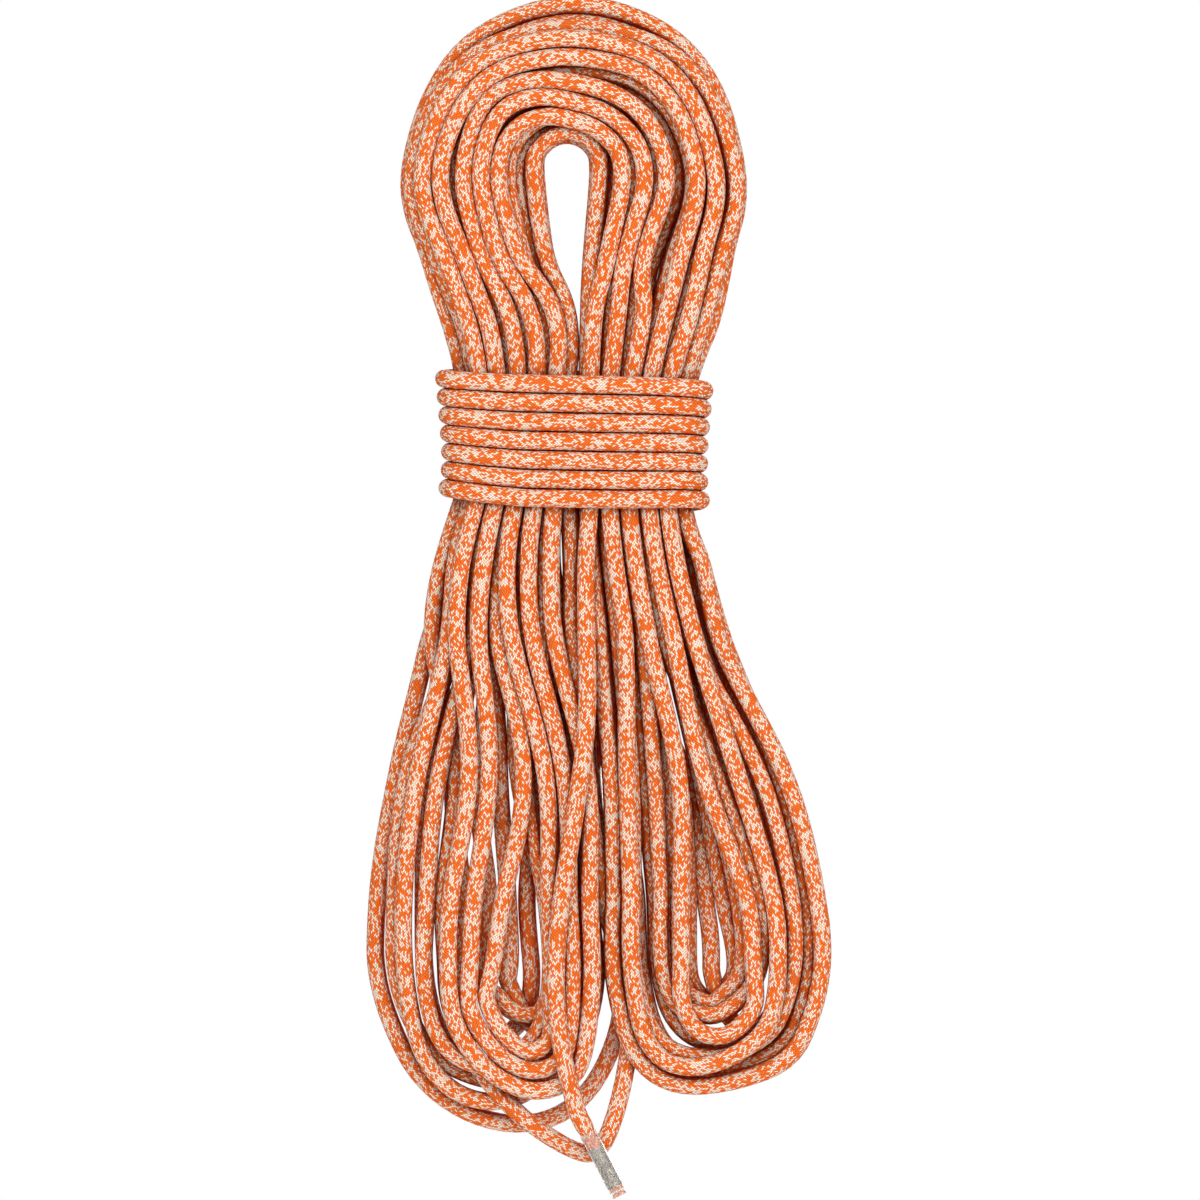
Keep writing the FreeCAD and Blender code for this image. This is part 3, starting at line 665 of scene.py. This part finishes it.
def carried_across(points, ways):
    """A direction across the line at each point, carried along it by two mirrorings at every step."""
    across = np.zeros_like(points)
    first = np.cross(ways[0], (0.0, 0.0, 1.0) if abs(ways[0][2]) < 0.9 else (1.0, 0.0, 0.0))
    across[0] = first / np.linalg.norm(first)
    for k in range(len(points) - 1):
        step = points[k + 1] - points[k]
        length = step @ step
        side = across[k] - 2 / length * (step @ across[k]) * step
        way = ways[k] - 2 / length * (step @ ways[k]) * step
        turn = ways[k + 1] - way
        size = turn @ turn
        across[k + 1] = side - 2 / size * (turn @ side) * turn if size > 1e-18 else side
    return across


def tube_arrays(points, radius, sides):
    """Corner places, faces and the map of a tube. The radius may be one value or one for each point."""
    ways = directions_along(points)
    across = carried_across(points, ways)
    beside = np.cross(ways, across)
    angle = np.linspace(0, 2 * math.pi, sides, endpoint=False)
    radius = np.broadcast_to(radius, len(points))[:, None, None]
    ring = np.cos(angle)[None, :, None] * across[:, None] + np.sin(angle)[None, :, None] * beside[:, None]
    corners = (points[:, None] + radius * ring).reshape(-1, 3)
    row = np.arange(len(points) - 1)[:, None] * sides
    here, there = np.arange(sides), (np.arange(sides) + 1) % sides
    faces = np.stack([row + here, row + there, row + sides + there, row + sides + here], axis=-1)
    faces = faces.reshape(-1, 4)
    run = np.concatenate([[0], np.cumsum(np.linalg.norm(np.diff(points, axis=0), axis=1))])
    u = np.stack([here, here + 1, here + 1, here], axis=-1) / sides
    u = np.broadcast_to(u, (len(row), sides, 4))
    v = np.stack([run[:-1], run[:-1], run[1:], run[1:]], axis=-1)[:, None]
    v = np.broadcast_to(v, (len(row), sides, 4))
    maps = np.stack([u, v], axis=-1).reshape(-1, 2)
    return corners, faces, maps


# %% [markdown]
# # Shade between the strands
# Little light gets down between tightly laid strands, and what does has bounced off orange yarn. That
# shade could be painted on by hand, but a number worked out at each corner of a tube follows the strands
# wherever they lie. It says how shut in the corner is, and the sheath's material darkens with it. It comes
# from a coarse grid of cells that says how full of rope the space is, read a little way out from the
# corner.

# %% How shut in a place is
CROWD_CELL = 0.002
CROWD_MARGIN = 0.03
CROWD_STEP = 0.001
NEAR_BLURS, FAR_BLURS = 2, 7
NEAR_LOOKS = (0.005, 0.008, 0.011)
FAR_LOOK = 0.012
FACING = (1.0, 3.0, 1.0)


def crowd_grids(rope_line):
    """How full of rope the space is, in small cubic cells: each short step of the line adds its volume
    to its cell, and running means over three cells along each axis spread it, a little for one grid and
    far for the other."""
    steps = evenly(rope_line, CROWD_STEP)
    low = steps.min(axis=0) - CROWD_MARGIN
    cells = np.ceil((steps.max(axis=0) + CROWD_MARGIN - low) / CROWD_CELL).astype(int)
    grid = np.zeros(cells)
    place = ((steps - low) / CROWD_CELL).astype(int)
    np.add.at(grid, tuple(place.T), math.pi * ROPE_RADIUS**2 * CROWD_STEP / CROWD_CELL**3)
    grids = []
    for blurs in (NEAR_BLURS, FAR_BLURS):
        for _ in range(blurs):
            for axis in range(3):
                grid = (np.roll(grid, 1, axis) + grid + np.roll(grid, -1, axis)) / 3
        grids.append(np.clip(grid, 0, 1))
    return grids, low


(near_crowd, far_crowd), crowd_low = crowd_grids(line)
print("cells in the crowd grids:", near_crowd.size)


def shut_in(corners, outward):
    """How shut in each corner is: the mean fullness near it, straight out but mostly to the front or the
    back, or the fullness of a wider space further out where that is more."""
    way = outward * np.array(FACING)
    way /= np.linalg.norm(way, axis=1)[:, None]

    def fullness(grid, distance):
        """The grid's value at a distance from each corner."""
        place = ((corners + way * distance - crowd_low) / CROWD_CELL).astype(int)
        return grid[tuple(np.clip(place, 0, np.array(grid.shape) - 1).T)]

    near = sum(fullness(near_crowd, distance) for distance in NEAR_LOOKS) / len(NEAR_LOOKS)
    return np.maximum(near, fullness(far_crowd, FAR_LOOK))


# %% A tube as a mesh
def tube_mesh(name, points, radius, sides, v_from=0.0):
    """A closed tube as a mesh with its map and its shade. Each cap is one face on an end ring."""
    corners, faces, maps = tube_arrays(points, radius, sides)
    outward = corners - np.repeat(points, sides, axis=0)
    outward /= np.linalg.norm(outward, axis=1)[:, None]
    last = len(corners) - sides
    cap_loops = np.concatenate([np.arange(sides)[::-1], last + np.arange(sides)])
    mesh = bpy.data.meshes.new(name)
    mesh.vertices.add(len(corners))
    mesh.vertices.foreach_set("co", corners.ravel())
    mesh.loops.add(faces.size + 2 * sides)
    mesh.loops.foreach_set("vertex_index", np.concatenate([faces.ravel(), cap_loops]))
    starts = np.concatenate([np.arange(len(faces)) * 4, [faces.size, faces.size + sides]])
    mesh.polygons.add(len(starts))
    mesh.polygons.foreach_set("loop_start", starts)
    mesh.polygons.foreach_set("use_smooth", np.concatenate([np.ones(len(faces), bool), [False, False]]))
    layer = mesh.uv_layers.new(name="rope_map")
    ends = np.zeros((2 * sides, 2))
    maps = np.concatenate([maps + (0, v_from), ends])
    layer.data.foreach_set("uv", maps.ravel())
    shade = mesh.attributes.new("shut_in", "FLOAT", "POINT")
    shade.data.foreach_set("value", shut_in(corners, outward))
    mesh.update(calc_edges=True)
    piece = bpy.data.objects.new(name, mesh)
    bpy.context.scene.collection.objects.link(piece)
    return piece


# %% [markdown]
# # The rope in its pieces
# The coiled stretches are plain tubes. The tails are pressed thinner inside their end sleeves: 3.6 mm in
# radius for the last 35 mm, widening to 4.5 mm over a neck of 3 mm. The last 2 mm are the fused tip, a
# piece of its own. A lighter core runs inside each stretch.

# %% The pieces of rope
PRESSED_RADIUS = 0.0036
PRESSED_CORE_RADIUS = 0.0023
SLEEVE_LENGTH = 0.035
NECK_LENGTH = 0.003
TIP_LENGTH = 0.002
TAIL_STEP = 0.0015

pieces = {}


def tail_line(stretch):
    """A tail's line in short even steps from the coil to the tip."""
    run = evenly(stretch, TAIL_STEP)
    left = np.linalg.norm(run - run[-1], axis=1)
    return run[left >= TIP_LENGTH]


def narrowed(run, end, radius, pressed):
    """The radius at each point: the pressed one near the rope's end, then widening over the neck."""
    from_end = np.linalg.norm(run - end, axis=1)
    return np.interp(from_end, [SLEEVE_LENGTH, SLEEVE_LENGTH + NECK_LENGTH], [pressed, radius])


for name, first, last in zip(PIECE_NAMES, cuts, cuts[1:]):
    stretch = line[first : last + 1]
    radius, core_radius = ROPE_RADIUS, CORE_RADIUS
    if name == "front_tail":
        stretch = stretch[::-1]
    if "tail" in name:
        end = stretch[-1]
        stretch = tail_line(stretch)
        radius = narrowed(stretch, end, ROPE_RADIUS, PRESSED_RADIUS)
        core_radius = narrowed(stretch, end, CORE_RADIUS, PRESSED_CORE_RADIUS)
    v_from = 0.0 if name == "front_tail" else along[first]
    pieces[name] = tube_mesh(f"{name}_rope", stretch, radius, ROPE_SIDES, v_from)
    pieces[name + "_core"] = tube_mesh(f"{name}_core_yarn", stretch, core_radius, CORE_SIDES)
    print(name, "faces:", len(pieces[name].data.polygons))

# %% [markdown]
# # What each piece stands for
# Every piece rides on the imported model's one body, and hides the imported node that it stands for.


for name in PIECE_NAMES:
    for piece, node, slot, diameter in (
        (pieces[name], f"{name}_sheath", "braided_sheath", ROPE_DIAMETER),
        (pieces[name + "_core"], f"{name}_core", "core_yarn", 2 * CORE_RADIUS),
    ):
        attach(piece, "root")
        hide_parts(node)

# %% [markdown]
# # Materials
# The rope's sheath is woven from two families of yarn that spiral opposite ways. Modelled yarns would be
# far too many for a rope this long, so the material draws them. With u once round the rope, v along it
# and p the pitch of the picks, the yarns of one family lie where 32u + v/p has one whole number, and those
# of the other where 32u - v/p has one. A yarn passes over two of the other family, then under two. So the
# sum of the two whole numbers, left over after division by four, says which family is on top.

# %% A short way to write node graphs
class Graph:
    """A material's nodes round its shader, with short ways to add and join them."""

    def __init__(self, name):
        self.material = bpy.data.materials.new(name)
        self.material.use_nodes = True
        self.tree = self.material.node_tree
        self.shader = self.tree.nodes["Principled BSDF"]

    def feed(self, socket, value):
        """Links another node's output to a socket, or sets a constant on it."""
        if isinstance(value, bpy.types.NodeSocket):
            self.tree.links.new(value, socket)
        else:
            socket.default_value = value

    def add(self, kind, *inputs, **settings):
        """Adds a node, sets it up and feeds its inputs in their order. None leaves an input as it is."""
        node = self.tree.nodes.new(kind)
        for key, value in settings.items():
            setattr(node, key, value)
        for socket, value in zip(node.inputs, inputs):
            if value is not None:
                self.feed(socket, value)
        return node

    def math(self, operation, *values):
        """The result of a maths node."""
        return self.add("ShaderNodeMath", *values, operation=operation).outputs[0]

    def noise(self, scale, detail):
        """Noise in the object's own coordinates."""
        place = self.add("ShaderNodeTexCoord").outputs["Object"]
        return self.add("ShaderNodeTexNoise", place, None, scale, detail).outputs[0]

    def ranged(self, value, old_range, new_range):
        """The value, carried from one range over to another."""
        return self.add("ShaderNodeMapRange", value, *old_range, *new_range).outputs[0]

    def mixed(self, share, colour, other, blend="MIX"):
        """The colour, mixed with or multiplied by the other one as far as the share says."""
        mix = self.add("ShaderNodeMix", data_type="RGBA", blend_type=blend)
        for index, value in ((0, share), (6, colour), (7, other)):
            self.feed(mix.inputs[index], value)
        return mix.outputs[2]

    def raised(self, height, strength, depth):
        """The way that the surface faces, where the height stands out by up to the depth in metres."""
        bump = self.add("ShaderNodeBump", strength, depth)
        self.feed(bump.inputs["Height"], height)
        return bump.outputs[0]

    def surface(self, finish):
        """Feeds the shader's inputs by their names and gives the finished material."""
        for name, value in finish.items():
            self.feed(self.shader.inputs[name], value)
        return self.material


# %% The braid
YARNS_ROUND = 32
PICK_PITCH = 0.00156
COLUMNS_ROUND = YARNS_ROUND // 2
ROUND_ACROSS, ROUND_LENGTHWISE = 2.6, 3.2
print("yarns round the rope in each family:", YARNS_ROUND)


def braid(graph):
    """For each spot of the sheath: whether the first family is on top, the rounded height of the pick
    that shows there, the pick's row along the rope and its column round it. A pick is the short length
    of yarn that shows between two crossings."""
    m = graph.math
    rope_map = graph.add("ShaderNodeUVMap", uv_map="rope_map").outputs[0]
    split = graph.add("ShaderNodeSeparateXYZ", rope_map)
    around = m("MULTIPLY", split.outputs[0], YARNS_ROUND)
    up = m("DIVIDE", split.outputs[1], PICK_PITCH)
    first, second = m("ADD", around, up), m("SUBTRACT", around, up)
    first_yarn, second_yarn = m("FLOOR", first), m("FLOOR", second)
    total = m("ADD", first_yarn, second_yarn)
    over_four = m("FLOORED_MODULO", total, 4)
    four = m("FLOOR", m("DIVIDE", total, 4))
    first_on_top = m("LESS_THAN", over_four, 2)

    def chosen(if_first, if_second):
        """The first value where the first family is on top, otherwise the second."""
        return m("ADD", if_second, m("MULTIPLY", first_on_top, m("SUBTRACT", if_first, if_second)))

    def rounded(part, power):
        """One in the middle of the part from 0 to 1, and none at its ends."""
        from_middle = m("ABSOLUTE", m("SUBTRACT", m("MULTIPLY", part, 2), 1))
        return m("SUBTRACT", 1, m("POWER", from_middle, power))

    first_part, second_part = m("FRACT", first), m("FRACT", second)
    crossed = m("ADD", m("FLOORED_MODULO", over_four, 2), chosen(second_part, first_part))
    across, lengthwise = chosen(first_part, second_part), m("DIVIDE", crossed, 2)
    height = m("MULTIPLY", rounded(across, ROUND_ACROSS), rounded(lengthwise, ROUND_LENGTHWISE))
    twice = m("MULTIPLY", four, 2)
    row = chosen(m("SUBTRACT", first_yarn, twice), m("ADD", m("SUBTRACT", twice, second_yarn), 0.5))
    return first_on_top, height, row, m("FLOORED_MODULO", four, COLUMNS_ROUND)


# %% The woven sheath
WHITE_YARN = (0.93, 0.80, 0.67, 1)
ORANGE_YARN = (0.90, 0.19, 0.028, 1)
WORN = (0.80, 0.72, 0.66, 1)
WORN_MOST = 0.5
# Painted shade: dark in the grooves between the picks, and deeper where the strands shut each other in.
SHADOW = (0.42, 0.15, 0.04, 1)
GROOVE_HEIGHTS = (0.05, 0.8)
DEEP_SHADE = (0.36, 0.08, 0.015, 1)
SHADE_WHERE_SHUT_IN = (0.12, 0.52)
CLUMP_SCALE = 0.30
CLUMP_SHARE = 0.50
WHITE_ABOVE = 0.525
FIBRE_SCALE, FIBRE_SHARE = 4200.0, 0.25


def woven_sheath():
    """The material of the sheath. A pick has one colour: clumped noise read at the pick's own place in
    the braid, mixed with pure chance, makes it orange or white. Some picks are a little worn. The grooves
    between them and what the strands shut in are darkened with a painted shade."""
    graph = Graph("woven_sheath")
    m, add = graph.math, graph.add
    first_on_top, height, row, column = braid(graph)
    turned = m("MULTIPLY", column, 2 * math.pi / COLUMNS_ROUND)
    reach = COLUMNS_ROUND / (2 * math.pi)
    ring = [m("MULTIPLY", m(wave, turned), reach) for wave in ("COSINE", "SINE")]
    clump_place = add("ShaderNodeCombineXYZ", *ring, row).outputs[0]
    clump = add("ShaderNodeTexNoise", clump_place, None, CLUMP_SCALE, 1.0).outputs[0]
    code = add("ShaderNodeCombineXYZ", row, column, first_on_top).outputs[0]
    chance = add("ShaderNodeTexWhiteNoise", code, noise_dimensions="3D")
    by_clump = m("MULTIPLY", clump, CLUMP_SHARE)
    by_chance = m("MULTIPLY", chance.outputs[0], 1 - CLUMP_SHARE)
    white = m("GREATER_THAN", m("ADD", by_clump, by_chance), WHITE_ABOVE)
    yarn = graph.mixed(white, ORANGE_YARN, WHITE_YARN)
    worn = add("ShaderNodeSeparateColor", chance.outputs[1]).outputs[1]
    yarn = graph.mixed(m("MULTIPLY", worn, WORN_MOST), yarn, WORN, "MULTIPLY")
    # Painted shade in the grooves between the picks.
    yarn = graph.mixed(graph.ranged(height, GROOVE_HEIGHTS, (1.0, 0.0)), yarn, SHADOW, "MULTIPLY")
    # Painted shade, darker the more shut in a corner is.
    crowded = add("ShaderNodeAttribute", attribute_name="shut_in").outputs["Fac"]
    yarn = graph.mixed(graph.ranged(crowded, SHADE_WHERE_SHUT_IN, (0.0, 1.0)), yarn, DEEP_SHADE, "MULTIPLY")
    relief = m("ADD", height, m("MULTIPLY", graph.noise(FIBRE_SCALE, 2.0), FIBRE_SHARE))
    return graph.surface({
        "Base Color": yarn,
        "Normal": graph.raised(relief, 0.9, 0.0003),
        "Roughness": 0.85,
        "Specular IOR Level": 0.06,
    })


sheath_material = woven_sheath()
print("nodes in the sheath's material:", len(sheath_material.node_tree.nodes))


# %% The core, the sleeve, the label and the tip
# The valleys' colour is a painted shade where the twisted yarns dip between their ridges.
SHADED_YARN_VALLEY, YARN_RIDGE = (0.62, 0.60, 0.55, 1), (0.86, 0.85, 0.82, 1)
CORE_YARNS_ROUND, CORE_YARN_PITCH = 6, 0.03
FOIL, FOIL_SMUDGE = (0.27, 0.255, 0.23, 1), (0.09, 0.085, 0.075, 1)
FUSED, BROWNED = (0.72, 0.26, 0.14, 1), (0.30, 0.09, 0.05, 1)


def core_yarn():
    """Pale twisted yarns: slanted bands on the map, with rounded ridges and painted shade in the valleys."""
    graph = Graph("core_yarn")
    m = graph.math
    rope_map = graph.add("ShaderNodeUVMap", uv_map="rope_map").outputs[0]
    split = graph.add("ShaderNodeSeparateXYZ", rope_map)
    around = m("MULTIPLY", split.outputs[0], CORE_YARNS_ROUND)
    twist = m("FRACT", m("ADD", around, m("DIVIDE", split.outputs[1], CORE_YARN_PITCH)))
    from_ridge = m("ABSOLUTE", m("SUBTRACT", m("MULTIPLY", twist, 2), 1))
    ridge = m("SUBTRACT", 1, m("POWER", from_ridge, 2))
    return graph.surface({
        "Base Color": graph.mixed(ridge, SHADED_YARN_VALLEY, YARN_RIDGE),
        "Normal": graph.raised(ridge, 0.6, 0.0004),
        "Roughness": 0.8,
    })


def clear_sleeve():
    """Shrunk clear plastic: it lets light through, is a little hazy, and has fine wrinkles."""
    graph = Graph("clear_sleeve")
    wrinkle = graph.noise(320.0, 3.0)
    return graph.surface({
        "Base Color": (0.90, 0.86, 0.82, 1),
        "Normal": graph.raised(wrinkle, 0.5, 0.0004),
        "Roughness": graph.ranged(wrinkle, (0.35, 0.7), (0.12, 0.38)),
        "Transmission Weight": 0.9,
        "IOR": 1.12,
    })


def label_foil():
    """A bare silver-grey band under the sleeve: partly metal, with soft darker smudges."""
    graph = Graph("label_foil")
    smudge = graph.noise(420.0, 5.0)
    return graph.surface({
        "Base Color": graph.mixed(graph.ranged(smudge, (0.40, 0.62), (0, 1)), FOIL, FOIL_SMUDGE),
        "Roughness": graph.ranged(smudge, (0.3, 0.7), (0.25, 0.5)),
        "Metallic": 0.5,
    })


def fused_nylon():
    """The melted end: glassy orange with darker, browned patches."""
    graph = Graph("fused_nylon")
    patch = graph.noise(500.0, 3.0)
    return graph.surface({
        "Base Color": graph.mixed(graph.ranged(patch, (0.45, 0.65), (0, 1)), FUSED, BROWNED),
        "Normal": graph.raised(patch, 0.6, 0.0003),
        "Roughness": 0.35,
    })


ROPE_PIECES = [pieces[name] for name in PIECE_NAMES]
CORE_PIECES = [pieces[name + "_core"] for name in PIECE_NAMES]
core_material = core_yarn()
for piece in ROPE_PIECES:
    piece.data.materials.append(sheath_material)
for piece in CORE_PIECES:
    piece.data.materials.append(core_material)

NODE_MATERIALS = {
    "end_sleeve": clear_sleeve(),
    "label_band": label_foil(),
    "fused_tip": fused_nylon(),
}
for end in ("front", "back"):
    for part, material in NODE_MATERIALS.items():
        node = bpy.data.objects[f"{end}_{part}"]
        for slot in node.material_slots:
            slot.material = material
print("materials made:", len(bpy.data.materials))

# %% [markdown]
# # Floor, background and light
# The coil hangs by its eye, so the floor is some way below it. A white world is what the camera sees
# behind, and a dimmer one lights the rope. Large soft lamps in front, above and behind give an even light
# on every side.

# %% The stage
FLOOR_HEIGHT = -0.75
FLOOR_HALF = 2.5
WORLD_LIGHT = 0.40
# Each lamp is (name, place, what it points at, width, watts).
LAMPS = [
    ("front_lamp", (-0.2, -2.8, 0.7), (0.0, 0.0, -0.25), 1.8, 69.0),
    ("right_lamp", (1.5, -2.4, 0.2), (0.0, 0.0, -0.25), 1.6, 22.0),
    ("top_lamp", (0.0, -0.7, 2.2), (0.0, 0.0, -0.2), 1.8, 14.0),
    ("back_lamp", (0.7, 2.8, 0.6), (0.0, 0.0, -0.25), 1.8, 84.0),
]


def plain_floor():
    """A plain pale floor: a large square."""
    mesh = bpy.data.meshes.new("floor")
    square = ((-1, -1), (1, -1), (1, 1), (-1, 1))
    corners = [(x * FLOOR_HALF, y * FLOOR_HALF, FLOOR_HEIGHT) for x, y in square]
    mesh.from_pydata(corners, [], [(0, 1, 2, 3)])
    mesh.materials.append(Graph("pale_floor").surface({"Base Color": (0.9, 0.9, 0.9, 1), "Roughness": 0.9}))
    floor = bpy.data.objects.new("floor", mesh)
    bpy.context.scene.collection.objects.link(floor)
    return floor


def white_world():
    """White where the camera looks, straight or through glass or in a gloss, and softer as light."""
    world = bpy.data.worlds.new("world")
    world.use_nodes = True
    bpy.context.scene.world = world
    tree = world.node_tree
    seen = tree.nodes["Background"]
    seen.inputs[0].default_value, seen.inputs[1].default_value = (1, 1, 1, 1), 1.0
    lights = tree.nodes.new("ShaderNodeBackground")
    lights.inputs[0].default_value, lights.inputs[1].default_value = (1, 1, 1, 1), WORLD_LIGHT
    path = tree.nodes.new("ShaderNodeLightPath")
    rays = [path.outputs[f"Is {kind} Ray"] for kind in ("Camera", "Glossy", "Transmission")]
    total = rays[0]
    for ray in rays[1:]:
        larger = tree.nodes.new("ShaderNodeMath")
        larger.operation = "MAXIMUM"
        tree.links.new(total, larger.inputs[0])
        tree.links.new(ray, larger.inputs[1])
        total = larger.outputs[0]
    mix = tree.nodes.new("ShaderNodeMixShader")
    tree.links.new(total, mix.inputs[0])
    tree.links.new(lights.outputs[0], mix.inputs[1])
    tree.links.new(seen.outputs[0], mix.inputs[2])
    tree.links.new(mix.outputs[0], tree.nodes["World Output"].inputs[0])


def add_lamp(name, place, target, width, power):
    """A square soft lamp that points at a target."""
    data = bpy.data.lights.new(name, "AREA")
    data.size, data.energy = width, power
    lamp = bpy.data.objects.new(name, data)
    lamp.location = place
    way = np.array(target) - np.array(place)
    tilt = math.acos(-way[2] / np.linalg.norm(way))
    lamp.rotation_euler = (tilt, 0, math.atan2(way[1], way[0]) - math.pi / 2)
    bpy.context.scene.collection.objects.link(lamp)


plain_floor()
white_world()
for lamp in LAMPS:
    add_lamp(*lamp)
bpy.context.scene.view_settings.view_transform = "Standard"
print("lamps:", len(LAMPS))
